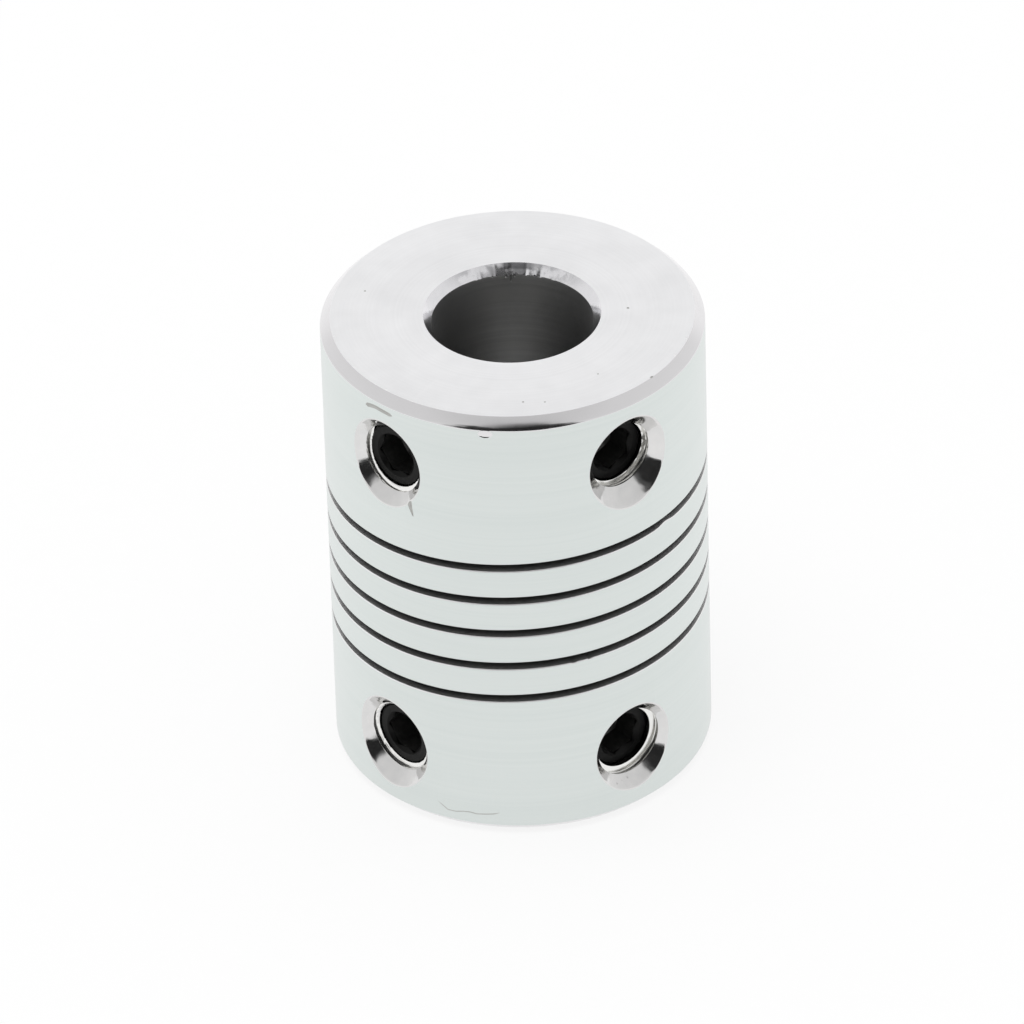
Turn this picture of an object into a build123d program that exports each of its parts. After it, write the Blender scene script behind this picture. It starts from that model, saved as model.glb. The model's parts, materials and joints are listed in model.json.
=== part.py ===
from build123d import *
from math import atan, cos, degrees, pi, radians, sin, sqrt, tan
import os

# Flexible shaft coupling turned from one bar, with a helical slot and four set screws.
# Millimetres. +Z runs along the shafts, the origin is the centre of the lower end face,
# and -Y is the front, midway between the two lines of set screws.
# Angles round the axis are in degrees from the front, positive to the right.

# Body
body_d = 19.0
body_len = 25.0
rim_chamfer = 0.5

# Straight bore for both shafts, chamfered at both ends
bore_d = 8.0
bore_chamfer = 0.4

# Helical slot, right-handed, cut through the wall into the bore.
# It is centred on mid-length, where it passes this angle.
slot_w = 0.45
slot_pitch = 1.98
slot_turns = 5.0
slot_middle_angle = 36.8

# Disc saw that cut the slot, and that leaves its round shape at both ends
saw_d = 25.0

# Set screws, and the gap all round between a screw and its hole at thread size
screw_d = 4.0
screw_len = 3.0
thread_gap = 0.03

# Details of a set screw: hexagon socket, chamfered face and cup point
socket_af = 2.0
socket_depth = 1.5
socket_lead_in = 0.05
face_chamfer = 0.35
cup_d = 2.0
cup_land = 0.1
cup_angle = 120.0

# Full angle of the countersinks
countersink_angle = 90.0

# The four holes: angle round the axis, distance from the nearer end face, radial width of
# the countersink at the surface, and how deep the screw's face sits below the surface
upper_left_angle = -39.3
upper_left_inset = 4.0
upper_left_countersink = 0.42
upper_left_sink = 1.1

upper_right_angle = 39.4
upper_right_inset = 3.88
upper_right_countersink = 0.58
upper_right_sink = 1.7

lower_left_angle = -41.0
lower_left_inset = 3.88
lower_left_countersink = 0.56
lower_left_sink = 1.22

lower_right_angle = 39.0
lower_right_inset = 3.86
lower_right_countersink = 0.48
lower_right_sink = 1.55

# How far a cutting shape runs past the surface that it cuts
overrun = 0.5

body_r = body_d / 2
bore_r = bore_d / 2
middle_z = body_len / 2
slot_inner_r = bore_r - overrun
slot_outer_r = body_r + overrun
slot_rise = slot_turns * slot_pitch

# Name, angle, height of the axis, countersink width and depth of the screw's face
HOLES = (
    (
        "upper_left",
        upper_left_angle,
        body_len - upper_left_inset,
        upper_left_countersink,
        upper_left_sink,
    ),
    (
        "upper_right",
        upper_right_angle,
        body_len - upper_right_inset,
        upper_right_countersink,
        upper_right_sink,
    ),
    (
        "lower_left",
        lower_left_angle,
        lower_left_inset,
        lower_left_countersink,
        lower_left_sink,
    ),
    (
        "lower_right",
        lower_right_angle,
        lower_right_inset,
        lower_right_countersink,
        lower_right_sink,
    ),
)


def outward(angle, height, distance=0.0):
    """Place at this distance from the axis, with z leaving the body radially and y up."""
    direction = Vector(sin(radians(angle)), -cos(radians(angle)), 0)
    return Plane(
        origin=direction * distance + Vector(0, 0, height),
        x_dir=Vector(cos(radians(angle)), sin(radians(angle)), 0),
        z_dir=direction,
    ).location


def upright(shape, *sizes):
    """Cylinder or cone that stands on the origin."""
    return shape(*sizes, align=(Align.CENTER, Align.CENTER, Align.MIN))


def turned_blank():
    """Round bar bored from end to end, with chamfers at its rims and at both mouths of the bore."""
    bar = upright(Cylinder, body_r, body_len)
    bar = chamfer(bar.edges(), rim_chamfer)
    tube = bar - Pos(0, 0, -overrun) * upright(Cylinder, bore_r, body_len + 2 * overrun)
    mouths = tube.edges().filter_by(GeomType.CIRCLE).group_by(SortBy.RADIUS)[0]
    return chamfer(mouths, bore_chamfer)


def slot_turnings():
    """The turns of the slot: an upright rectangle carried along a right-handed helix."""
    path_r = (slot_inner_r + slot_outer_r) / 2
    path = Helix(pitch=slot_pitch, height=slot_rise, radius=path_r)
    section = Plane(origin=(path_r, 0, 0), x_dir=(1, 0, 0), z_dir=(0, 1, 0)) * Rectangle(
        slot_outer_r - slot_inner_r, slot_w
    )
    turns = sweep(section, path=path, is_frenet=True)
    # The helix starts at its lowest point, on +X, which is 90 degrees to the right of the front.
    bottom_angle = slot_middle_angle - 180 * slot_turns
    return Pos(0, 0, middle_z - slot_rise / 2) * Rot(0, 0, bottom_angle - 90) * turns


def saw_plunge(end):
    """Slot that the saw leaves where it stands at one end of the helix: 1 is the top, -1 the bottom."""
    angle = slot_middle_angle + end * 180 * slot_turns
    height = middle_z + end * slot_rise / 2
    lead = degrees(atan(slot_pitch / (pi * body_d)))
    saw_centre = outward(angle, height, slot_inner_r + saw_d / 2)
    return saw_centre * Rot(90, 0, 0) * Rot(0, lead, 0) * Cylinder(saw_d / 2, slot_w)


def tapped_hole(angle, height, countersink):
    """Radial hole at thread size from outside into the bore, with its countersink."""
    hole_r = screw_d / 2
    slope = tan(radians(countersink_angle / 2))
    depth = countersink / slope
    wide_r = hole_r + (depth + overrun) * slope
    hole = upright(Cylinder, hole_r, body_r + overrun)
    hole += Pos(0, 0, body_r - depth) * upright(Cone, hole_r, wide_r, depth + overrun)
    return outward(angle, height) * hole


def set_screw():
    """Socket set screw with its outer face at the origin and its cup point below."""
    screw_r = screw_d / 2 - thread_gap
    cup_r = cup_d / 2
    screw = Pos(0, 0, -screw_len) * upright(Cylinder, screw_r, screw_len)
    screw = chamfer(screw.edges().sort_by(Axis.Z)[-1], face_chamfer)
    screw = chamfer(screw.edges().sort_by(Axis.Z)[0], screw_r - cup_r - cup_land)
    corner_r = socket_af / sqrt(3)
    mouth_r = corner_r + socket_lead_in
    mouth_depth = mouth_r - socket_af / 2
    screw -= extrude(RegularPolygon(corner_r, 6), -socket_depth)
    screw -= Pos(0, 0, -mouth_depth) * upright(Cone, socket_af / 2, mouth_r, mouth_depth)
    cup_depth = cup_r / tan(radians(cup_angle / 2))
    screw -= Pos(0, 0, -screw_len) * upright(Cone, cup_r, 0, cup_depth)
    return screw


def coupling_body():
    body = turned_blank() - slot_turnings() - saw_plunge(1) - saw_plunge(-1)
    for _, angle, height, countersink, _ in HOLES:
        body -= tapped_hole(angle, height, countersink)
    return body


def write(shape, name):
    shape.label = name
    export_step(shape, f"parts/{name}.step")


os.makedirs("parts", exist_ok=True)
write(coupling_body(), "coupling_body")
for name, angle, height, _, sink in HOLES:
    write(outward(angle, height, body_r - sink) * set_screw(), f"set_screw_{name}")
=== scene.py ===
import json
from math import asin, atan2, ceil, cos, degrees, exp, hypot, pi, radians, sin, sqrt, tan

import bpy
import numpy as np
from mathutils import Matrix, Vector


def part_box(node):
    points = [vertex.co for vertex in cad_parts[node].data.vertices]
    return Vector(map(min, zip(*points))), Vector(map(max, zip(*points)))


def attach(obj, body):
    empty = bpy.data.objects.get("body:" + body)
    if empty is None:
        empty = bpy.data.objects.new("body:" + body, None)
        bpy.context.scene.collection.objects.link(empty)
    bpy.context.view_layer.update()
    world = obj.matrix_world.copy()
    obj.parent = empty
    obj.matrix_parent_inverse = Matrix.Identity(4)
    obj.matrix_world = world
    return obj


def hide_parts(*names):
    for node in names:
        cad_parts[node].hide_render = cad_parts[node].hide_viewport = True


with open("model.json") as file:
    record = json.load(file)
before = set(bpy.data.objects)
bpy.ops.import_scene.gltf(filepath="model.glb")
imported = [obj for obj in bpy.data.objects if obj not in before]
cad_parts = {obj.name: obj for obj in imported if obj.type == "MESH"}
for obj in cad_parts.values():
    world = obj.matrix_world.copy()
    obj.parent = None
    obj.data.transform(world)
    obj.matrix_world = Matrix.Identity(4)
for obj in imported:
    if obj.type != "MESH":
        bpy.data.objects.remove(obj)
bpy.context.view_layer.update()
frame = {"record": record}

# Lengths are in millimetres until a mesh is made. Angles round the coupling's axis are in
# degrees from the front (-Y), positive to the right.
MM = 0.001

# Sizes read from the frame
_, body_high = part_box("coupling_body")
BODY_R = body_high.x / MM
BODY_LEN = body_high.z / MM
BORE_R = next(m["dims"]["r_mm"] for m in frame["record"]["mounts"] if m["name"] == "upper_bore")

# How far a cutting shape runs past the surface that it cuts
OVERRUN = 1.5

# Turned outline of the body: chamfers, and the small radii that soften their corners
RIM_CHAMFER = 0.5
BORE_CHAMFER = 0.4
BORE_CHAMFER_HEIGHT = 0.46
RIM_END_SOFTENING = 0.05
RIM_SIDE_SOFTENING = 0.12
BORE_SOFTENING = 0.05
MOUTH_SOFTENING = 0.015
ARC_STEPS = 4
BODY_SEGMENTS = 480

# Wider, uneven rounding under the upper chamfer at the front: its radius, the angle of its
# middle, and how far to each side it is full and reaches. Its waves are (length in degrees,
# phase, size).
FRONT_SOFTENING = 0.44
FRONT_MIDDLE = 2.5
FRONT_FULL = 12.0
FRONT_END = 28.0
FRONT_WAVES = ((25.0, -0.82, 0.28), (9.0, 0.5, 0.08), (4.1, 2.0, 0.05))

# Ragged edge between the bore and its upper chamfer at the back, written the same way. The
# bore's wall is plain from this depth down.
BACK_MIDDLE = 183.0
BACK_FULL = 20.0
BACK_END = 40.0
BACK_WAVES = ((11.0, 0.3, 0.045), (5.2, 1.0, 0.022), (2.9, 2.2, 0.008))
BACK_WAVES_DEPTH = 1.2

# Helical slot
SLOT_W = 0.45
SLOT_PITCH = 1.98
SLOT_TURNS = 5.0
SLOT_MIDDLE_ANGLE = 36.8
SLOT_EDGE_BREAK = 0.02
SLOT_BEVEL = 0.06
SLOT_OVERRUN = 0.5
SLOT_STEPS_PER_TURN = 480

# Disc saw that cut the slot's ends, and how near it comes to the coupling's axis. The cutting
# shape stops this many degrees short of the saw's edge, outside the body, and keeps a least
# height there.
SAW_R = 12.5
SAW_REACH = 3.5
SAW_MARGIN = 0.5
SAW_LEAST_HEIGHT = 0.01

# Burr and nicks on the slot's lower edge: degrees turned from its middle, how far the edge is
# raised, and over how many degrees
SLOT_MARKS = ((736.6, 0.12, 2.6), (-377.6, -0.05, 0.7), (-372.5, -0.06, 0.5))

# Tapped and countersunk holes. A hole's angle, height and screw depth come from the frame.
THREAD_R = 2.0
THREAD_CREST_R = 1.66
THREAD_PITCH = 0.7
THREAD_CREST_SHARE = 0.1
THREAD_ROOT_SHARE = 0.125
CREST_THICKNESS = 0.05
GROOVE_R = 1.9

# Rings of a hole: steps along its wall, which are fine from a little below the screw's face,
# and shares of the way up its cone to the surface
HOLE_SEGMENTS = 112
HOLE_STEP = THREAD_PITCH / 5
HOLE_FINE_STEP = 0.02
HOLE_FINE_BELOW_FACE = 0.1
CONE_SHARES = np.linspace(0.15, 1, 7)

# Broken rim of a hole: where it starts below the surface, and its slopes as (degrees from the
# hole's axis, length)
RIM_BREAK = 0.03
RIM_SLOPES = ((60, 0.03), (78, 0.75))

# Width of each countersink at the surface
COUNTERSINKS = {
    "upper_left": 0.42,
    "upper_right": 0.58,
    "lower_left": 0.56,
    "lower_right": 0.48,
}

# Each hole's first thread: distance from the coupling's axis to its edge at the middle of the
# hole's height and at its lowest point, then its profile above the edge as (rise, radius)
FIRST_THREADS = {
    "upper_left": (8.58, 8.75, ((0, 1.66), (0.08, 1.92), (0.1, 1.92), (0.26, 1.76))),
    "upper_right": (8.23, 8.16, ((0, 1.66), (0.05, 1.88), (0.17, 1.9), (0.42, 1.73))),
    "lower_left": (8.62, 8.54, ((0, 1.66), (0.04, 1.84), (0.19, 1.87))),
    "lower_right": (8.44, 8.44, ((0, 1.66), (0.11, 1.98), (0.26, 2.0), (0.43, 1.85))),
}

# Set screws
SCREW_LEN = 3.0
SCREW_R = 1.97
SCREW_CLEARANCE = 0.04
SCREW_FACE_R = 1.6
FACE_EDGE = 0.03
CUP_R = 1.0
CUP_LAND = 0.1
CUP_DEPTH = 0.577
SCREW_SEGMENTS = 180
SCREW_STEP = 0.03
SCREW_LEAST_STEP = 0.01

# Hexagon socket: a drilled hole with a pointed end, opened to a hexagon with a lead-in
SOCKET_AF = 2.0
SOCKET_DEPTH = 1.5
SOCKET_LEAD_IN = 0.05
SOCKET_LEDGE = 0.02
SOCKET_OVERRUN = 0.15
DRILL_POINT = 0.35
SOCKET_SEGMENTS = 72
LEAD_IN_RINGS = 10

# Radius of the small flat that closes a cone at its point
POINT_R = 0.02

# How the socket's hexagon is turned in each hole, in degrees
SOCKET_TURNS = {
    "upper_left": 10.0,
    "upper_right": 24.0,
    "lower_left": 0.0,
    "lower_right": 15.0,
}

# Edges that turn by more than this many degrees stay crisp
BODY_CREASE = 16
SCREW_CREASE = 30

# Scratches on the side: half width at the start and end, depth there, and points as
# (angle, height)
SCRATCHES = (
    (
        (0.17, 0.03),
        (0.06, 0.02),
        ((-30.9, 19.6), (-30.2, 19.25), (-29.9, 18.97), (-29.4, 18.69), (-29.1, 18.5)),
    ),
    (
        (0.12, 0.1),
        (0.04, 0.04),
        ((-46.2, 23.98), (-44.4, 24.08), (-42.2, 24.15), (-38.1, 24.12), (-35.5, 24.08)),
    ),
    (
        (0.025, 0.03),
        (0.006, 0.008),
        ((-24, 1.36), (-22.4, 1.19), (-20.8, 0.99), (-18.2, 0.99), (-15.9, 1.08), (-13.7, 1.11))
        + ((-11.5, 1.05), (-9.0, 1.1), (-6.5, 1.15), (-4.5, 1.25)),
    ),
)

# Steps per point of a scratch. Its size grows this fast with the share of its length from an
# end, as if it began a little before.
SCRATCH_STEPS = 6
SCRATCH_FADE = 8
SCRATCH_TIP = 0.03

# Dents on the side: angle, height, half height, width over height, and depth
DENTS = ((-5.4, 24.25, 0.22, 1.7, 0.035),)

# Specks on the upper face: distance from the middle, angle, radius and depth
SPECKS = (
    (7.81, 6.6, 0.06, 0.012),
    (7.99, 14.2, 0.05, 0.012),
    (9.02, 51.9, 0.1, 0.03),
    (7.58, -103.5, 0.06, 0.012),
    (5.71, 94.3, 0.07, 0.02),
    (6.93, 39.9, 0.05, 0.012),
)

# Bright flecks along the rim of the upper face: angle and radius, and their depth over radius
FLECKS = (
    (-75.9, 0.06),
    (-61.0, 0.07),
    (-57.0, 0.06),
    (-40.8, 0.08),
    (-30.2, 0.07),
    (76.0, 0.07),
    (66.0, 0.07),
)
FLECK_DEPTH = 0.25

# Nicks in the wall of the bore under its upper chamfer: angle, distance below the chamfer,
# radius, height over width, and depth
BORE_NICKS = (
    (-176.3, 0.2, 0.06, 4.0, 0.05),
    (-178.6, 0.06, 0.06, 1.5, 0.05),
    (-172.6, 0.06, 0.07, 1.6, 0.05),
    (166.7, 0.02, 0.07, 1.2, 0.07),
    (163.4, 0.0, 0.05, 1.0, 0.05),
    (-163.0, 0.03, 0.05, 1.2, 0.04),
)

# Pits in the countersink of the lower right hole: angle round the hole, radius there, and
# size, and their depth over size
CONE_PITS = ((-118.0, 2.22, 0.05), (-97.0, 2.05, 0.05), (-108.0, 2.12, 0.03))
CONE_PIT_DEPTH = 0.5

# Bowl of every dent, speck, fleck, nick and pit, as (share of its radius, share of its depth)
DENT_PROFILE = ((0.1, -1), (0.5, -0.96), (0.75, -0.75), (0.9, -0.4), (1.0, 0), (1.2, 0.5))
DENT_SEGMENTS = 16


def surface(r, angle):
    """Point at this radius and angle round the coupling's axis, without its height."""
    return r * np.sin(np.radians(angle)), -r * np.cos(np.radians(angle))


def outward(angle, height):
    """Matrix of a hole: z leaves the body radially, x points right along the surface and y up."""
    a = radians(angle)
    columns = ((cos(a), sin(a), 0), (0, 0, 1), (sin(a), -cos(a), 0), (0, 0, height))
    return Matrix([[column[row] for column in columns] for row in range(3)] + [[0, 0, 0, 1]])


def mesh_object(name, points, faces, slots, materials, place=None):
    """Object from points in millimetres and faces, each with the index of its material."""
    mesh = bpy.data.meshes.new(name)
    points = np.asarray(points, float)
    if place is not None:
        matrix = np.array(place)
        points = points @ matrix[:3, :3].T + matrix[:3, 3]
    mesh.from_pydata((points * MM).tolist(), [], faces)
    for material in materials:
        mesh.materials.append(material)
    mesh.polygons.foreach_set("material_index", np.asarray(slots, np.int32))
    mesh.update()
    made = bpy.data.objects.new(name, mesh)
    bpy.context.scene.collection.objects.link(made)
    return made


def lathe(rings, slots, closed=False):
    """Points and faces of a shape whose rings lie on top of each other, from rings of N points.

    The faces look away from the middle when each ring runs anticlockwise seen from above and
    the rings go up. slots holds the material of each band, or of each face in it; the caps take
    the first and the last one.
    """
    count = len(rings[0])
    points = np.concatenate(rings)
    faces = []
    indices = []
    bands = len(rings) if closed else len(rings) - 1
    for band in range(bands):
        lower = band * count
        upper = (band + 1) % len(rings) * count
        for i in range(count):
            j = (i + 1) % count
            faces.append((lower + i, lower + j, upper + j, upper + i))
        indices += np.broadcast_to(slots[band], count).tolist()
    if not closed:
        faces.append(tuple(reversed(range(count))))
        faces.append(tuple(range(len(points) - count, len(points))))
        indices += [int(np.min(slots[0])), int(np.min(slots[-1]))]
    return points, faces, indices


def circle(r, height, count):
    """Ring of points, with a radius and a height that may change round it."""
    theta = np.arange(count) * 2 * pi / count
    return np.stack([r * np.cos(theta), r * np.sin(theta), height + 0 * theta], 1)


def softened(corners):
    """Closed outline from corners (r, z, radius, material), with an arc in each corner."""
    rounded = []
    count = len(corners)
    for i, (r, z, radius, slot) in enumerate(corners):
        slot_before = corners[i - 1][3]
        here = Vector((r, z))
        before = (Vector(corners[i - 1][:2]) - here).normalized()
        after = (Vector(corners[(i + 1) % count][:2]) - here).normalized()
        if radius == 0:
            rounded.append((r, z, slot))
            continue
        half = before.angle(after) / 2
        centre = here + (before + after).normalized() * (radius / sin(half))
        start = here + before * (radius / tan(half)) - centre
        turn = start.angle_signed(here + after * (radius / tan(half)) - centre)
        for step in range(ARC_STEPS + 1):
            a = -turn * step / ARC_STEPS
            x = start.x * cos(a) - start.y * sin(a)
            y = start.x * sin(a) + start.y * cos(a)
            p = centre + Vector((x, y))
            rounded.append((p.x, p.y, slot_before if step == 0 else slot))
    return rounded


def bake_modifiers(target):
    """Puts what the modifiers make in place of the object's mesh."""
    bpy.context.view_layer.update()
    shaped = target.evaluated_get(bpy.context.evaluated_depsgraph_get())
    mesh = bpy.data.meshes.new_from_object(shaped)
    target.modifiers.clear()
    target.data = mesh


def subtract(target, cutters):
    """Cuts the cutters from the target for good, and removes them."""
    for cutter in cutters:
        cut = target.modifiers.new("cut", "BOOLEAN")
        cut.operation = "DIFFERENCE"
        cut.solver = "MANIFOLD"
        cut.object = cutter
    bake_modifiers(target)
    for cutter in cutters:
        bpy.data.objects.remove(cutter)


def smooth(target, crease):
    """Smooth shading that leaves flat faces flat and keeps edges over this angle crisp."""
    target.data.shade_smooth()
    target.data.set_sharp_from_angle(angle=radians(crease))
    weigh = target.modifiers.new("weighted normals", "WEIGHTED_NORMAL")
    weigh.mode = "FACE_AREA"
    weigh.keep_sharp = True
    bake_modifiers(target)


def thread(theta, height):
    """Radius of a right-handed internal thread: flat crests and roots with sloping flanks."""
    along = (height / THREAD_PITCH - theta / (2 * pi)) % 1.0
    from_crest = np.minimum(along, 1 - along)
    flank_start = THREAD_CREST_SHARE / 2
    flank_end = 0.5 - THREAD_ROOT_SHARE / 2
    rise = np.clip((from_crest - flank_start) / (flank_end - flank_start), 0, 1)
    return THREAD_CREST_R + (THREAD_R - THREAD_CREST_R) * rise


# Places of the materials in the lists that the body and the screws get
SIDE, END, RIM, MOUTH, HOLE, THREAD, BORE, SLIT, WORN, FLECK = range(10)
OUTER_OXIDE, SOCKET_OXIDE = range(2)


def outline(upper_side_softening):
    """Turned outline of the body, with this radius between its side and its upper chamfer."""
    top = BODY_LEN
    rim = RIM_CHAMFER
    mouth = BORE_CHAMFER
    mouth_height = BORE_CHAMFER_HEIGHT
    return softened(
        [
            (BODY_R, rim, RIM_SIDE_SOFTENING, SIDE),
            (BODY_R, top - rim, upper_side_softening, RIM),
            (BODY_R - rim, top, RIM_END_SOFTENING, END),
            (BORE_R + mouth, top, MOUTH_SOFTENING, MOUTH),
            (BORE_R, top - mouth_height, BORE_SOFTENING, BORE),
            (BORE_R, top - BACK_WAVES_DEPTH, 0, BORE),
            (BORE_R, mouth_height, BORE_SOFTENING, MOUTH),
            (BORE_R + mouth, 0, MOUTH_SOFTENING, END),
            (BODY_R - rim, 0, RIM_END_SOFTENING, RIM),
        ]
    )


def sector(aside, full, end):
    """1 within the full angle, falling to 0 at the end angle."""
    share = np.clip((end - np.abs(aside)) / (end - full), 0, 1)
    return share**2 * (3 - 2 * share)


def waves(angle, parts):
    """Sum of sine waves, each with its length in degrees, its phase and its size."""
    return sum(size * np.sin(2 * pi * angle / length + phase) for length, phase, size in parts)


def turned_blank(materials):
    """The turned body before its slot and holes, uneven at the front rim and the bore's mouth."""
    angle = (np.arange(BODY_SEGMENTS) * 360 / BODY_SEGMENTS - 90) % 360 - 180
    share = sector(angle - FRONT_MIDDLE, FRONT_FULL, FRONT_END) * (1 + waves(angle, FRONT_WAVES))
    from_back = angle % 360 - BACK_MIDDLE
    bite = sector(from_back, BACK_FULL, BACK_END) * np.maximum(0, waves(from_back, BACK_WAVES))
    plain = outline(RIM_SIDE_SOFTENING)
    rings = []
    for (r, z, _), (front_r, front_z, _) in zip(plain, outline(FRONT_SOFTENING)):
        bitten = bite if r < BORE_R + BORE_SOFTENING and z > BODY_LEN - BACK_WAVES_DEPTH else 0
        r = r + (front_r - r) * share
        z = z + (front_z - z) * share - bitten
        rings.append(circle(r, z, BODY_SEGMENTS))
    points, faces, slots = lathe(rings, [slot for _, _, slot in plain], closed=True)
    return mesh_object("turned_body", points, faces, slots, materials)


def slot_cutter(materials):
    """The slot as one sweep: its turns, and the shallowing ends that the round saw left."""
    saw_centre = SAW_REACH + SAW_R
    plunge = degrees(asin(SAW_R / saw_centre)) - SAW_MARGIN
    half_turns = 180 * SLOT_TURNS
    steps = ceil(2 * (half_turns + plunge) / 360 * SLOT_STEPS_PER_TURN)
    outer = BODY_R + SLOT_OVERRUN
    rings = []
    for turned in np.linspace(-half_turns - plunge, half_turns + plunge, steps + 1):
        past = max(0.0, abs(turned) - half_turns)
        side = 1 if turned > 0 else -1
        aside = saw_centre * sin(radians(past))
        inner = saw_centre * cos(radians(past)) - sqrt(SAW_R**2 - aside**2)
        inner = min(inner, outer - SAW_LEAST_HEIGHT)
        angle = SLOT_MIDDLE_ANGLE + turned
        height = BODY_LEN / 2 + (turned - side * past) / 360 * SLOT_PITCH
        raised = sum(lift * exp(-(((turned - at) / wide) ** 2)) for at, lift, wide in SLOT_MARKS)
        ring = []
        for r, across in (
            (inner, (SLOT_BEVEL - SLOT_W) / 2),
            (max(inner, BODY_R - SLOT_EDGE_BREAK), (SLOT_BEVEL - SLOT_W) / 2 + raised),
            (max(inner, BODY_R), -(SLOT_BEVEL + SLOT_W) / 2 + raised),
            (outer, -(SLOT_BEVEL + SLOT_W) / 2 - outer + BODY_R + raised),
            (outer, SLOT_W / 2 + SLOT_EDGE_BREAK + outer - BODY_R),
            (max(inner, BODY_R - SLOT_EDGE_BREAK), SLOT_W / 2),
            (inner, SLOT_W / 2),
        ):
            lean = side * r * sin(radians(past)) * SLOT_PITCH / (2 * pi * BODY_R)
            x, y = surface(r, angle)
            ring.append((x, y, height + lean + across))
        rings.append(np.array(ring))
    points, faces, slots = lathe(rings, [SLIT] * len(rings))
    faces = [tuple(reversed(face)) for face in faces]
    return mesh_object("slot_cutter", points, faces, slots, materials)


class Hole:
    """A tapped hole with its set screw, placed by the screw's node in the frame."""

    def __init__(self, where):
        low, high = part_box(f"set_screw_{where}")
        middle = (low + high) / 2 / MM
        self.where = where
        self.angle = degrees(atan2(middle.x, -middle.y))
        self.height = middle.z
        self.face = hypot(middle.x, middle.y) + SCREW_LEN / 2
        self.countersink = COUNTERSINKS[where]
        self.first_thread, self.first_thread_low, self.profile = FIRST_THREADS[where]
        self.place = outward(self.angle, self.height)

    def bore_radius(self, theta, height):
        """Radius of the tapped hole: above, at and below the edge of its first thread."""
        edge = self.first_thread + (self.first_thread - self.first_thread_low) * np.sin(theta)
        rises, radii = zip(*self.profile)
        above = np.interp(height - edge, rises, radii)
        groove = np.where(height > self.face - THREAD_PITCH, GROOVE_R, thread(theta, height))
        return np.where(height > edge - CREST_THICKNESS, above, groove)

    def cutter(self, materials):
        """Threaded hole from the bore to the surface, with its countersink and broken rim."""
        count = HOLE_SEGMENTS
        theta = np.arange(count) * 2 * pi / count
        cone_foot = BODY_R - self.countersink
        fine_from = self.face - HOLE_FINE_BELOW_FACE
        shallow = cone_foot - (THREAD_R - THREAD_CREST_R)
        lows = np.arange(BORE_R - OVERRUN, fine_from, HOLE_STEP)
        fines = np.arange(fine_from, cone_foot + HOLE_FINE_STEP, HOLE_FINE_STEP)
        rings = []
        slots = []
        for height in np.concatenate([lows, fines]):
            threaded = self.bore_radius(theta, height)
            cone = THREAD_CREST_R + height - shallow
            rings.append(circle(np.maximum(threaded, cone), height, count))
            slots.append(np.where(threaded > cone, THREAD, HOLE))
        # The cone up to where it nears the surface, which falls away to both sides
        offset = cone_foot - THREAD_R
        across = np.cos(theta) ** 2
        reach = BODY_R - RIM_BREAK
        root = np.sqrt(offset**2 * across**2 - (1 + across) * (offset**2 * across - reach**2))
        near = (offset * across + root) / (1 + across)
        last = rings[-1][0, 2]
        for share in CONE_SHARES:
            height = last + (near - last) * share
            rings.append(circle(height - offset, height, count))
        r = near - offset
        height = near
        for slope, length in RIM_SLOPES:
            r = r + length * sin(radians(slope))
            height = height + length * cos(radians(slope))
            rings.append(circle(r, height, count))
        rings.append(circle(r, BODY_R + OVERRUN, count))
        slots += [HOLE] * (len(rings) - len(slots))
        points, faces, slots = lathe(rings, slots)
        return mesh_object("hole_cutter", points, faces, slots, materials, self.place)

    def screw(self, materials):
        """Set screw with its thread, hexagon socket and cup point."""
        count = SCREW_SEGMENTS
        theta = np.arange(count) * 2 * pi / count
        tip = self.face - SCREW_LEN
        point_r = CUP_R + CUP_LAND
        edge = self.face - FACE_EDGE
        rings = [
            circle(POINT_R, tip + CUP_DEPTH, count),
            circle(CUP_R, tip, count),
            circle(point_r, tip, count),
        ]
        for height in np.arange(tip + SCREW_STEP, edge - SCREW_LEAST_STEP, SCREW_STEP):
            r = self.bore_radius(theta, height) - SCREW_CLEARANCE
            r = np.minimum(r, SCREW_R)
            r = np.minimum(r, point_r + height - tip)
            r = np.minimum(r, SCREW_FACE_R - FACE_EDGE + self.face - height)
            rings.append(circle(r, height, count))
        rings.append(circle(SCREW_FACE_R, edge, count))
        rings.append(circle(SCREW_FACE_R - FACE_EDGE, self.face, count))
        points, faces, slots = lathe(rings, [OUTER_OXIDE] * len(rings))
        name = f"black_screw_{self.where}"
        made = mesh_object(name, points, faces, slots, materials, self.place)
        subtract(made, [self.socket_cutter(materials)])
        smooth(made, SCREW_CREASE)
        return made

    def socket_cutter(self, materials):
        """Hexagon socket, from its drilled point to its lead-in."""
        corner_r = SOCKET_AF / sqrt(3)
        turn = radians(SOCKET_TURNS[self.where])
        spin = np.array([[cos(turn), sin(turn), 0], [-sin(turn), cos(turn), 0], [0, 0, 1]])
        count = SOCKET_SEGMENTS
        theta = np.arange(count) * 2 * pi / count
        in_sector = (theta % (pi / 3)) - pi / 6
        hexagon = SOCKET_AF / 2 / np.cos(in_sector)
        bottom = self.face - SOCKET_DEPTH
        mouth = corner_r + SOCKET_LEAD_IN
        rings = [
            circle(POINT_R, bottom - DRILL_POINT, count),
            circle(SOCKET_AF / 2 - SOCKET_LEDGE, bottom, count),
            circle(hexagon, bottom + SOCKET_LEDGE, count),
        ]
        slots = [SOCKET_OXIDE] * len(rings)
        for depth in np.linspace(mouth - SOCKET_AF / 2, 0, LEAD_IN_RINGS):
            rings.append(circle(np.maximum(hexagon, mouth - depth), self.face - depth, count))
        rings.append(circle(mouth + SOCKET_OVERRUN, self.face + SOCKET_OVERRUN, count))
        slots += [OUTER_OXIDE] * (len(rings) - len(slots))
        points, faces, slots = lathe([ring @ spin for ring in rings], slots)
        return mesh_object("socket_cutter", points, faces, slots, materials, self.place)


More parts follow.
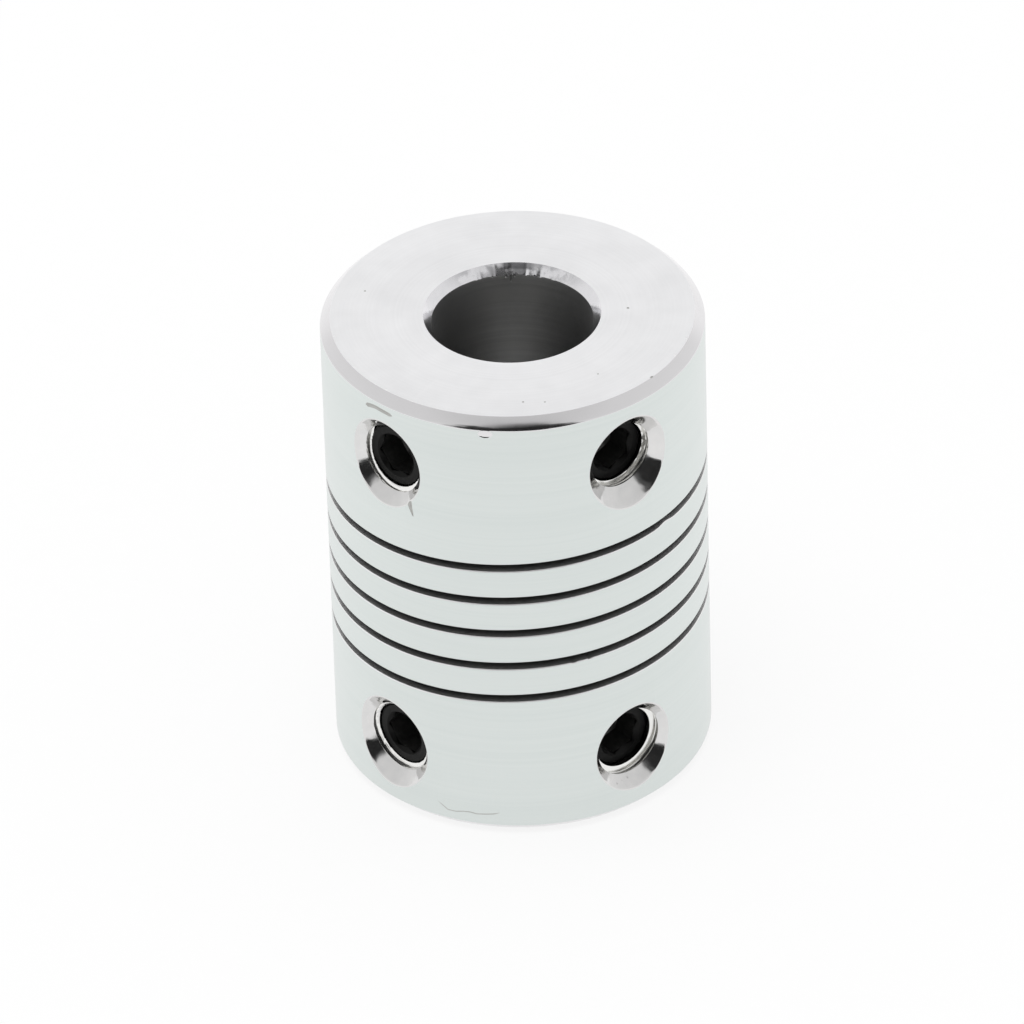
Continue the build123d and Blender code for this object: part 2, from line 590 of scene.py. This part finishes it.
class Marks:
    """Small cutting shapes gathered in one mesh."""

    def __init__(self):
        self.points = []
        self.faces = []
        self.slots = []

    def add(self, points, faces, slot, place=None):
        """Adds a closed shape, with its faces turned to look outwards."""
        if place is not None:
            points = points @ np.array(place)[:3, :3].T + np.array(place)[:3, 3]
        volume = 0.0
        for face in faces:
            for i in range(1, len(face) - 1):
                volume += np.dot(points[face[0]], np.cross(points[face[i]], points[face[i + 1]]))
        first = sum(len(p) for p in self.points)
        for face in faces:
            face = face if volume > 0 else face[::-1]
            self.faces.append(tuple(first + i for i in face))
            self.slots.append(slot)
        self.points.append(points)

    def dent(self, place, radius, depth, slot):
        """Bowl with a flat middle at the origin of the place, whose z leaves the surface."""
        rings = [circle(radius * wide, depth * deep, DENT_SEGMENTS) for wide, deep in DENT_PROFILE]
        points, faces, _ = lathe(rings, [0] * len(rings))
        self.add(points, faces, slot, place)

    def scratch(self, half_widths, depths, path):
        """Groove with a V section along points on the side."""
        angles, heights = np.array(path).T
        at = np.linspace(0, len(path) - 1, SCRATCH_STEPS * len(path))
        angles = np.interp(at, np.arange(len(path)), angles)
        heights = np.interp(at, np.arange(len(path)), heights)
        along = np.stack([np.gradient(np.radians(angles)) * BODY_R, np.gradient(heights)], 1)
        along /= np.linalg.norm(along, axis=1)[:, None]
        share = at / at[-1]
        from_end = np.minimum(share + SCRATCH_TIP, 1 + SCRATCH_TIP - share)
        fade = np.clip(SCRATCH_FADE * from_end, 0, 1)
        half = np.interp(share, (0, 1), half_widths) * fade
        depth = np.interp(share, (0, 1), depths) * fade
        rings = []
        for a, z, (x, y), w, d in zip(angles, heights, along, half, depth):
            ring = []
            for aside, r in ((-2 * w, BODY_R + d), (0, BODY_R - d), (2 * w, BODY_R + d)):
                ring.append((*surface(r, a - degrees(aside * y / BODY_R)), z + aside * x))
            rings.append(np.array(ring))
        points, faces, _ = lathe(rings, [0] * len(rings))
        self.add(points, faces, WORN)

    def cutter(self, materials):
        """All the shapes as one object."""
        return mesh_object("marks", np.concatenate(self.points), self.faces, self.slots, materials)


def facing(point, normal):
    """Matrix at a point, with z along the normal."""
    return Matrix.Translation(point) @ Vector(normal).to_track_quat("Z", "Y").to_matrix().to_4x4()


def marks_cutter(materials, holes):
    """What wear and machining left: scratches, dents, specks, flecks, nicks and pits."""
    marks = Marks()
    for half_widths, depths, path in SCRATCHES:
        marks.scratch(half_widths, depths, path)
    for angle, height, radius, stretch, depth in DENTS:
        place = outward(angle, height) @ Matrix.Translation((0, 0, BODY_R))
        marks.dent(place @ Matrix.Diagonal((stretch, 1, 1, 1)), radius, depth, RIM)
    for r, angle, radius, depth in SPECKS:
        marks.dent(Matrix.Translation((*surface(r, angle), BODY_LEN)), radius, depth, WORN)
    for angle, radius in FLECKS:
        place = Matrix.Translation((*surface(BODY_R - RIM_CHAMFER - radius, angle), BODY_LEN))
        marks.dent(place, radius, radius * FLECK_DEPTH, FLECK)
    for angle, below, radius, stretch, depth in BORE_NICKS:
        x, y = surface(BORE_R, angle)
        place = facing((x, y, BODY_LEN - BORE_CHAMFER_HEIGHT - below), (-x, -y, 0))
        # The nicks take the slot walls' colour, which is painted shade this near the axis
        marks.dent(place @ Matrix.Diagonal((1, stretch, 1, 1)), radius, depth, SLIT)
    hole = holes["lower_right"]
    for angle, r, size in CONE_PITS:
        a = radians(angle)
        point = (r * cos(a), r * sin(a), BODY_R - hole.countersink + r - THREAD_R)
        place = hole.place @ facing(point, (-cos(a), -sin(a), 1))
        marks.dent(place, size, size * CONE_PIT_DEPTH, HOLE)
    return marks.cutter(materials)


class Nodes:
    """Short way to write a material's nodes."""

    def __init__(self, tree):
        self.tree = tree
        tree.nodes.clear()

    def add(self, kind, inputs=None, **settings):
        node = self.tree.nodes.new(kind)
        for name, value in settings.items():
            setattr(node, name, value)
        for name, value in (inputs or {}).items():
            self.set(node.inputs[name], value)
        return node

    def set(self, socket, value):
        if isinstance(value, bpy.types.Node):
            value = value.outputs[0]
        if isinstance(value, bpy.types.NodeSocket):
            self.tree.links.new(value, socket)
        else:
            socket.default_value = value

    def math(self, operation, *values):
        return self.add("ShaderNodeMath", dict(enumerate(values)), operation=operation)

    def ramp(self, value, low, high, to_low=0.0, to_high=1.0):
        """Smooth change from to_low at the low value to to_high at the high one."""
        inputs = {"Value": value, "From Min": low, "From Max": high}
        inputs |= {"To Min": to_low, "To Max": to_high}
        return self.add("ShaderNodeMapRange", inputs, interpolation_type="SMOOTHSTEP")

    def mix(self, share, a, b):
        node = self.add("ShaderNodeMix", data_type="RGBA")
        self.set(node.inputs[0], share)
        self.set(node.inputs[6], a)
        self.set(node.inputs[7], b)
        return node.outputs[2]

    def noise(self, vector, scale, detail=2.0, roughness=0.5):
        inputs = {"Vector": vector, "Scale": scale, "Detail": detail, "Roughness": roughness}
        return self.add("ShaderNodeTexNoise", inputs)

    def mapped(self, vector, scale):
        return self.add("ShaderNodeMapping", {"Vector": vector, "Scale": scale})

    def bump(self, height, strength, distance, normal=None):
        inputs = {"Height": height, "Strength": strength, "Distance": distance}
        if normal is not None:
            inputs["Normal"] = normal
        return self.add("ShaderNodeBump", inputs)

    def radius(self, place):
        """Distance from the coupling's axis."""
        flat = self.add("ShaderNodeVectorMath", {0: place, 1: (1, 1, 0)}, operation="MULTIPLY")
        length = self.add("ShaderNodeVectorMath", {0: flat}, operation="LENGTH")
        return length.outputs["Value"]

    def from_front(self, x, y):
        """Angle of a direction round the vertical, from the side that the camera is on."""
        azimuth = self.math("ARCTAN2", x, self.math("MULTIPLY", y, -1.0))
        return self.math("SUBTRACT", azimuth, radians(CAMERA_AZIMUTH))

    def rays(self):
        """Whether the camera sees a point directly, and whether it does by a reflection."""
        path = self.add("ShaderNodeLightPath").outputs
        mirrored = self.math("MAXIMUM", path["Is Glossy Ray"], path["Is Transmission Ray"])
        return path["Is Camera Ray"], mirrored


def grey(level):
    """Colour without a hue."""
    return level, level, level, 1


WHITE = grey(1)


def new_material(name):
    """A material, its nodes and the coordinates of its object."""
    material = bpy.data.materials.new(name)
    material.use_nodes = True
    nodes = Nodes(material.node_tree)
    coordinates = nodes.add("ShaderNodeTexCoord").outputs["Object"]
    return material, nodes, coordinates


def finish_metal(nodes, colour, roughness, normal=None, metallic=1.0, more=None):
    """Shader and output of a material. more holds further inputs of the shader."""
    inputs = {"Base Color": colour, "Metallic": metallic, "Roughness": roughness}
    if normal is not None:
        inputs["Normal"] = normal
    shader = nodes.add("ShaderNodeBsdfPrincipled", inputs | (more or {}))
    nodes.add("ShaderNodeOutputMaterial", {"Surface": shader})


# Lengths in the materials are in metres.

# How much the side's fine turning lines stand out
LINES_CONTRAST = 1.3


def turned_side():
    """Fine horizontal turning lines on pale aluminium."""
    material, nodes, place = new_material("turned_side")
    lines = nodes.noise(nodes.mapped(place, (60, 60, 7000)), 1.0, 3.0)
    bands = nodes.noise(nodes.mapped(place, (25, 25, 900)), 1.0, 2.0)
    fine = nodes.math("MULTIPLY", nodes.math("SUBTRACT", lines, 0.5), LINES_CONTRAST)
    tone = nodes.math("ADD", bands, fine)
    colour = nodes.mix(tone, (0.71, 0.757, 0.741, 1), (0.757, 0.798, 0.782, 1))
    rough = nodes.ramp(lines, 0.3, 0.7, 0.28, 0.32)
    finish_metal(nodes, colour, rough, nodes.bump(lines, 0.03, 0.00001))
    return material


def faced_end():
    """Concentric facing marks and a few specks."""
    material, nodes, place = new_material("faced_end")
    along = nodes.math("MULTIPLY", nodes.radius(place), 5000.0)
    rings = nodes.noise(nodes.add("ShaderNodeCombineXYZ", {"X": along}), 1.0, 3.0)
    cloud = nodes.noise(place, 500.0, 3.0)
    tone = nodes.math("ADD", rings, nodes.math("SUBTRACT", cloud, 0.5))
    colour = nodes.mix(tone, (0.8, 0.8, 0.81, 1), (0.92, 0.92, 0.93, 1))
    rough = nodes.ramp(rings, 0.3, 0.7, 0.42, 0.5)
    finish_metal(nodes, colour, rough, nodes.bump(rings, 0.3, 0.00001), 0.7)
    return material


def chamfered_rim():
    """Smoother cut of the chamfers."""
    material, nodes, place = new_material("chamfered_rim")
    cloud = nodes.noise(place, 700.0, 3.0)
    colour = nodes.mix(cloud, (0.78, 0.77, 0.78, 1), (0.82, 0.81, 0.82, 1))
    rough = nodes.ramp(cloud, 0.3, 0.7, 0.1, 0.16)
    finish_metal(nodes, colour, rough, nodes.bump(cloud, 0.1, 0.00002))
    return material


# Darker, rougher ragged spots at the back of the bore's chamfer: where they start and are full, and
# how much they darken
RAGGED_SPOTS_BACK = (0.0024, 0.0038)
RAGGED_SPOTS_DARKENING = 0.4

# Painted reflection there, at the outer edge: a darker patch for the tent's dark front seen in
# it. Its middle, where its sides fade, the heights and the distances behind the axis over which
# it grows, and its strength
PAINTED_REFLECTION_MIDDLE = 0.00005
PAINTED_REFLECTION_SIDES = (0.0006, 0.0009)
PAINTED_REFLECTION_HEIGHTS = (0.0247, 0.0248)
PAINTED_REFLECTION_BACK = (0.0, 0.001)
PAINTED_REFLECTION_STRENGTH = 0.7


def bore_mouth():
    """Chamfer of the bore, darker and rougher in ragged spots at the back, with a painted
    reflection.
    """
    material, nodes, place = new_material("bore_mouth")
    x, y, z = nodes.add("ShaderNodeSeparateXYZ", {0: place}).outputs
    cloud = nodes.noise(place, 1100.0, 4.0, 0.6)
    streaks = nodes.noise(place, 2500.0, 3.0)
    at_back = nodes.ramp(y, *RAGGED_SPOTS_BACK)
    ragged_spots = nodes.math("MULTIPLY", at_back, nodes.ramp(cloud, 0.44, 0.6))
    light = nodes.mix(streaks, (0.8, 0.8, 0.82, 1), (0.91, 0.9, 0.92, 1))
    colour = nodes.mix(nodes.math("MULTIPLY", ragged_spots, RAGGED_SPOTS_DARKENING), light, (0.2, 0.2, 0.21, 1))
    # Painted reflection: a dark patch at the back's outer edge, in place of the tent's dark front
    # reflected there
    aside = nodes.math("ABSOLUTE", nodes.math("SUBTRACT", x, PAINTED_REFLECTION_MIDDLE))
    within = nodes.ramp(aside, *PAINTED_REFLECTION_SIDES, 1.0, 0.0)
    painted_reflection = nodes.math("MULTIPLY", within, nodes.ramp(z, *PAINTED_REFLECTION_HEIGHTS))
    painted_reflection = nodes.math("MULTIPLY", painted_reflection, nodes.ramp(y, *PAINTED_REFLECTION_BACK))
    colour = nodes.mix(nodes.math("MULTIPLY", painted_reflection, PAINTED_REFLECTION_STRENGTH), colour, (0.14, 0.14, 0.15, 1))
    rough = nodes.ramp(ragged_spots, 0.0, 1.0, 0.12, 0.35)
    finish_metal(nodes, colour, rough, nodes.bump(streaks, 0.3, 0.00002))
    return material


def cut_hole():
    """Bright cut metal of the countersinks, with slight chatter."""
    material, nodes, place = new_material("cut_hole")
    marks = nodes.noise(place, 1800.0, 3.0)
    chatter = nodes.noise(place, 900.0, 1.0)
    colour = nodes.mix(marks, grey(0.68), (0.81, 0.8, 0.79, 1))
    rough = nodes.ramp(marks, 0.3, 0.7, 0.08, 0.16)
    normal = nodes.bump(marks, 0.35, 0.00001, nodes.bump(chatter, 0.8, 0.00006))
    finish_metal(nodes, colour, rough, normal)
    return material


def cut_thread():
    """Threads, whose tapping marks scatter more light."""
    material, nodes, place = new_material("cut_thread")
    marks = nodes.noise(place, 2500.0, 3.0)
    colour = nodes.mix(marks, (0.84, 0.84, 0.82, 1), (0.92, 0.91, 0.89, 1))
    rough = nodes.ramp(marks, 0.3, 0.7, 0.14, 0.2)
    finish_metal(nodes, colour, rough, nodes.bump(marks, 0.06, 0.00001))
    return material


# Painted light in the middle of the bore's wall, with painted shade to its sides: the distances
# to the side over which it fades, and the heights over which it grows lighter downwards
PAINTED_LIGHT_SIDES = (0.0008, 0.0034)
PAINTED_LIGHT_HEIGHTS = (0.0242, 0.0195)


def bored_wall():
    """Wall with fine turning lines that spread its reflections, and painted light in its middle."""
    material, nodes, place = new_material("bored_wall")
    lines = nodes.noise(nodes.mapped(place, (40, 40, 5000)), 1.0, 3.0)
    x, _, z = nodes.add("ShaderNodeSeparateXYZ", {0: place}).outputs
    # Painted light and shade: lighter in the middle, front and back, and lower down; darker to the
    # sides
    aside = nodes.ramp(nodes.math("ABSOLUTE", x), *PAINTED_LIGHT_SIDES)
    high = nodes.mix(lines, grey(0.38), (0.61, 0.61, 0.6, 1))
    low = nodes.mix(lines, grey(0.53), (0.85, 0.85, 0.84, 1))
    middle = nodes.mix(nodes.ramp(z, *PAINTED_LIGHT_HEIGHTS), high, low)
    colour = nodes.mix(aside, middle, grey(0.33))
    rough = nodes.ramp(lines, 0.3, 0.7, 0.44, 0.5)
    tangent = nodes.add("ShaderNodeTangent", direction_type="RADIAL", axis="Z")
    streaked = {"Anisotropic": 0.4, "Anisotropic Rotation": 0.25, "Tangent": tangent}
    finish_metal(nodes, colour, rough, nodes.bump(lines, 0.04, 0.00001), more=streaked)
    return material


# Distances from the axis over which the slot's walls grow bright: painted light at their outer edge
# over painted shade further in
SLIT_PAINTED_LIGHT_RADII = (0.009, 0.00945)


def sawn_slit():
    """Walls of the slot, with painted light at their outer edge and painted shade further in."""
    material, nodes, place = new_material("sawn_slit")
    marks = nodes.noise(place, 3000.0, 3.0)
    deep = nodes.mix(marks, (0.34, 0.34, 0.35, 1), (0.44, 0.44, 0.43, 1))
    painted_light = nodes.mix(marks, (0.84, 0.84, 0.85, 1), (0.94, 0.94, 0.93, 1))
    # Painted shade deep in the slot, painted light near the surface
    colour = nodes.mix(nodes.ramp(nodes.radius(place), *SLIT_PAINTED_LIGHT_RADII), deep, painted_light)
    finish_metal(nodes, colour, 0.45, nodes.bump(marks, 0.2, 0.00001))
    return material


def worn_mark():
    """Dull grey of scratches and specks."""
    material, nodes, place = new_material("worn_mark")
    marks = nodes.noise(place, 4000.0, 3.0)
    colour = nodes.mix(marks, (0.45, 0.45, 0.43, 1), (0.62, 0.62, 0.6, 1))
    finish_metal(nodes, colour, 0.5)
    return material


def bright_fleck():
    """Nearly white metal of the flecks along the rim: real nicks with a painted highlight."""
    material, nodes, place = new_material("bright_fleck")
    marks = nodes.noise(place, 4000.0, 3.0)
    colour = nodes.mix(marks, (0.93, 0.93, 0.94, 1), grey(0.98))
    finish_metal(nodes, colour, 0.3)
    return material


# Darkest and lightest grain of the black coating
OXIDE_DARK = 0.008
OXIDE_LIGHT = 0.017


def black_oxide(name, blackness):
    """Black coating of a screw, lighter the lower its blackness: a low blackness is painted light.
    """
    material, nodes, place = new_material(name)
    grain = nodes.noise(place, 4000.0, 4.0)
    dark, light = OXIDE_DARK / blackness, OXIDE_LIGHT / blackness
    colour = nodes.mix(grain, grey(dark), (light, light, light * 0.95, 1))
    rough = nodes.ramp(grain, 0.3, 0.7, 0.35, 0.5)
    finish_metal(nodes, colour, rough, nodes.bump(grain, 0.15, 0.00001), 0.9)
    return material


# Camera, as worked out from the photo's perspective
CAMERA_AZIMUTH = 3.7
CAMERA_ELEVATION = 35.3177
CAMERA_ROLL = -1.7038
CAMERA_DISTANCE = 498.6
CAMERA_ASIDE = 0.3099
CAMERA_ABOVE = -0.3503
CAMERA_CLIP = 0.01
SENSOR_WIDTH = 36
LENS = 350.759


def make_camera():
    """Camera that looks at the coupling's middle from the front and above."""
    azimuth, elevation, roll = (radians(a) for a in (CAMERA_AZIMUTH, CAMERA_ELEVATION, CAMERA_ROLL))
    back = Vector((sin(azimuth) * cos(elevation), -cos(azimuth) * cos(elevation), sin(elevation)))
    level = Vector((cos(azimuth), sin(azimuth), 0))
    above = back.cross(level)
    right = level * cos(roll) + above * sin(roll)
    up = above * cos(roll) - level * sin(roll)
    place = Vector((0, 0, BODY_LEN / 2)) + back * CAMERA_DISTANCE
    place = place - right * CAMERA_ASIDE - up * CAMERA_ABOVE
    data = bpy.data.cameras.new("camera")
    data.lens = LENS
    data.sensor_width = SENSOR_WIDTH
    data.clip_start = CAMERA_CLIP
    camera = bpy.data.objects.new("camera", data)
    rotation = Matrix((right, up, back)).transposed().to_4x4()
    camera.matrix_world = Matrix.Translation(place * MM) @ rotation
    bpy.context.scene.collection.objects.link(camera)
    bpy.context.scene.camera = camera


# Studio, in metres: a pale floor, a white tent and one soft lamp overhead. In the tent's front
# is its dark opening, which reaches higher in a second, less dark part and has a soft shade
# above it. The floor lies a little below the coupling.
FLOOR_SIZE = 6.0
FLOOR_HEIGHT = -0.00002
# Share of its own white that the floor shows, and how bright it is reflected in front and
# beside, with the degrees from the front at which the one ends and the other starts
FLOOR_WHITE = 0.8
FLOOR_FRONT = 0.96
FLOOR_BESIDE = 1.0
FLOOR_FRONT_END = 20
FLOOR_BESIDE_START = 110
LAMP_PLACE = Vector((-0.12, -0.14, 0.9))
LAMP_SIZE = 0.6
LAMP_POWER = 2.0
TENT_DIFFUSE = 0.85
# Middle elevation, half width, half height and softness in degrees, and brightness
OPENING = (13.0, 35.0, 27.0, 5.0, 0.02)
OPENING_TOP = (36.0, 34.0, 16.5, 5.0, 0.08)
OPENING_SHADE = (55.0, 50.0, 12.0, 40.0, 0.62)
# Walls are less bright the higher up: how bright in full shade, the share of the shade at the
# horizon, and the elevation from which it is full
WALL_SHADE = 0.76
WALL_SHADE_LOW = 0.6
WALL_SHADE_HIGH = 45.0
# The back has no shade, where a direction's y is over the first value. Under the second the
# shade is full.
BACK_WALL = 0.85
SIDE_WALLS = 0.6


def make_floor():
    """White paper, seen and reflected nearly as written and still with the object's shadow."""
    mesh = bpy.data.meshes.new("floor")
    half = FLOOR_SIZE / 2
    corners = ((-half, -half), (half, -half), (half, half), (-half, half))
    mesh.from_pydata([(x, y, FLOOR_HEIGHT) for x, y in corners], [], [(0, 1, 2, 3)])
    material, nodes, place = new_material("floor_paper")
    colour = nodes.mix(nodes.noise(place, 900.0, 2.0), grey(0.93), grey(0.96))
    paper = nodes.add("ShaderNodeBsdfDiffuse", {"Color": colour})
    x, y, _ = nodes.add("ShaderNodeSeparateXYZ", {0: place}).outputs
    aside = nodes.math("ABSOLUTE", nodes.from_front(x, y))
    fade = radians(FLOOR_FRONT_END), radians(FLOOR_BESIDE_START)
    reflected = nodes.ramp(aside, *fade, FLOOR_FRONT, FLOOR_BESIDE)
    seen, mirrored = nodes.rays()
    strength = nodes.math("MAXIMUM", seen, reflected)
    white = nodes.add("ShaderNodeEmission", {"Color": WHITE, "Strength": strength})
    share = nodes.math("MULTIPLY", nodes.math("MAXIMUM", seen, mirrored), FLOOR_WHITE)
    shader = nodes.add("ShaderNodeMixShader", {0: share, 1: paper, 2: white})
    nodes.add("ShaderNodeOutputMaterial", {"Surface": shader})
    mesh.materials.append(material)
    floor = bpy.data.objects.new("floor", mesh)
    bpy.context.scene.collection.objects.link(floor)


def make_tent():
    """World: white all round, with the dark opening of the tent in front for reflections."""
    world = bpy.data.worlds.new("tent")
    world.use_nodes = True
    bpy.context.scene.world = world
    nodes = Nodes(world.node_tree)
    direction = nodes.add("ShaderNodeTexCoord").outputs["Generated"]
    x, y, z = nodes.add("ShaderNodeSeparateXYZ", {0: direction}).outputs
    aside = nodes.from_front(x, y)
    elevation = nodes.math("ARCSINE", z)
    seen, mirrored = nodes.rays()

    def dark_part(middle, half_width, half_height, softness):
        """1 inside an ellipse of the tent's front, 0 outside."""
        across = nodes.math("DIVIDE", aside, radians(half_width))
        up = nodes.math("SUBTRACT", elevation, radians(middle))
        up = nodes.math("DIVIDE", up, radians(half_height))
        squares = [nodes.math("MULTIPLY", value, value) for value in (across, up)]
        soft = softness / half_width
        distance = nodes.math("SQRT", nodes.math("ADD", *squares))
        return nodes.ramp(distance, 1 - soft, 1 + soft, 1.0, 0.0)

    off_back = nodes.ramp(nodes.math("MULTIPLY", y, -1.0), -BACK_WALL, -SIDE_WALLS)
    high_up = nodes.ramp(elevation, 0.0, radians(WALL_SHADE_HIGH), WALL_SHADE_LOW, 1.0)
    colour = nodes.mix(nodes.math("MULTIPLY", off_back, high_up), WHITE, grey(WALL_SHADE))
    for *place, shade in (OPENING_SHADE, OPENING_TOP, OPENING):
        colour = nodes.mix(dark_part(*place), colour, grey(shade))
    colour = nodes.mix(nodes.math("SUBTRACT", 1.0, seen), WHITE, colour)
    shown = nodes.add("ShaderNodeBackground", {"Color": colour, "Strength": 1.0})
    lit = nodes.add("ShaderNodeBackground", {"Color": WHITE, "Strength": TENT_DIFFUSE})
    share = nodes.math("MAXIMUM", seen, mirrored)
    mixed = nodes.add("ShaderNodeMixShader", {0: share, 1: lit, 2: shown})
    nodes.add("ShaderNodeOutputWorld", {"Surface": mixed})


def make_lamp():
    """Soft lamp overhead, which shows in no reflection."""
    data = bpy.data.lights.new("soft_lamp", "AREA")
    data.shape = "DISK"
    data.size = LAMP_SIZE
    data.energy = LAMP_POWER
    lamp = bpy.data.objects.new("soft_lamp", data)
    lamp.location = LAMP_PLACE
    lamp.visible_glossy = False
    lamp.rotation_euler = LAMP_PLACE.to_track_quat("Z", "Y").to_euler()
    bpy.context.scene.collection.objects.link(lamp)


def dress(piece, node):
    """Puts a visible piece under the root body and hides the node that it stands for."""
    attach(piece, "root")
    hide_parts(node)


make_camera()
make_floor()
make_tent()
make_lamp()

body_materials = [
    turned_side(),
    faced_end(),
    chamfered_rim(),
    bore_mouth(),
    cut_hole(),
    cut_thread(),
    bored_wall(),
    sawn_slit(),
    worn_mark(),
    bright_fleck(),
]
# The socket's copy is lighter: painted light for the light that is lost deep in the socket
screw_materials = [black_oxide("black_oxide", 1.0), black_oxide("black_socket", 0.15)]
holes = {where: Hole(where) for where in COUNTERSINKS}
body = turned_blank(body_materials)
cutters = [slot_cutter(body_materials)]
cutters += [hole.cutter(body_materials) for hole in holes.values()]
subtract(body, cutters)
subtract(body, [marks_cutter(body_materials, holes)])
smooth(body, BODY_CREASE)
dress(body, "coupling_body")
for hole in holes.values():
    dress(hole.screw(screw_materials), f"set_screw_{hole.where}")

bpy.context.scene.view_settings.view_transform = "Standard"
